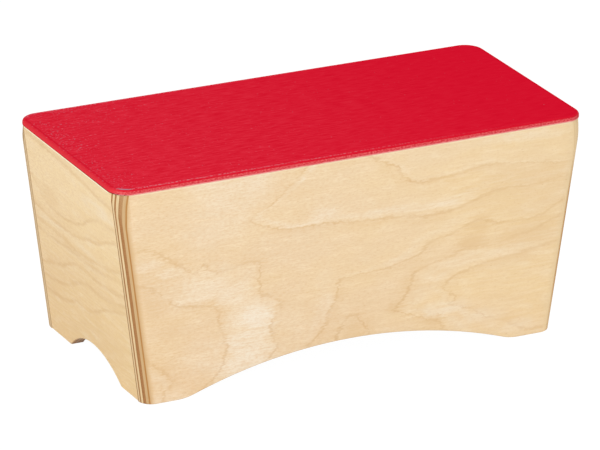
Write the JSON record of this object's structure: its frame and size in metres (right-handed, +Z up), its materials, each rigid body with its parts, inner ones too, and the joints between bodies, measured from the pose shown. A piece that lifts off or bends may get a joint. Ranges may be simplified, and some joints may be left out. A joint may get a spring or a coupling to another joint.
{
  "type": "bongo cajon",
  "caption": "Small box drum of birch plywood with a red playing plate, leaning ends, arched feet and a divider between a low and a high sound chamber.",
  "frame": {"origin": "on the floor, under the middle of the box", "axes": "+X along the length, +Y from front to rear, +Z up"},
  "size_m": [0.336, 0.153, 0.1482],
  "materials": {
    "birch_plywood": "clear satin lacquer",
    "red_stained_plywood": "red stain under satin lacquer, worn at the edge",
    "pine_batten": "planed, unfinished"
  },
  "bodies": {
    "root": {"playing_plate": "red_stained_plywood", "front_board": "birch_plywood", "rear_board": "birch_plywood", "left_end_board": "birch_plywood", "right_end_board": "birch_plywood", "chamber_divider": "birch_plywood", "front_left_corner_batten": "pine_batten", "front_right_corner_batten": "pine_batten", "rear_left_corner_batten": "pine_batten", "rear_right_corner_batten": "pine_batten", "front_left_plate_strip": "pine_batten", "front_right_plate_strip": "pine_batten", "rear_left_plate_strip": "pine_batten", "rear_right_plate_strip": "pine_batten", "left_end_plate_strip": "pine_batten", "right_end_plate_strip": "pine_batten"}
  },
  "joints": []
}
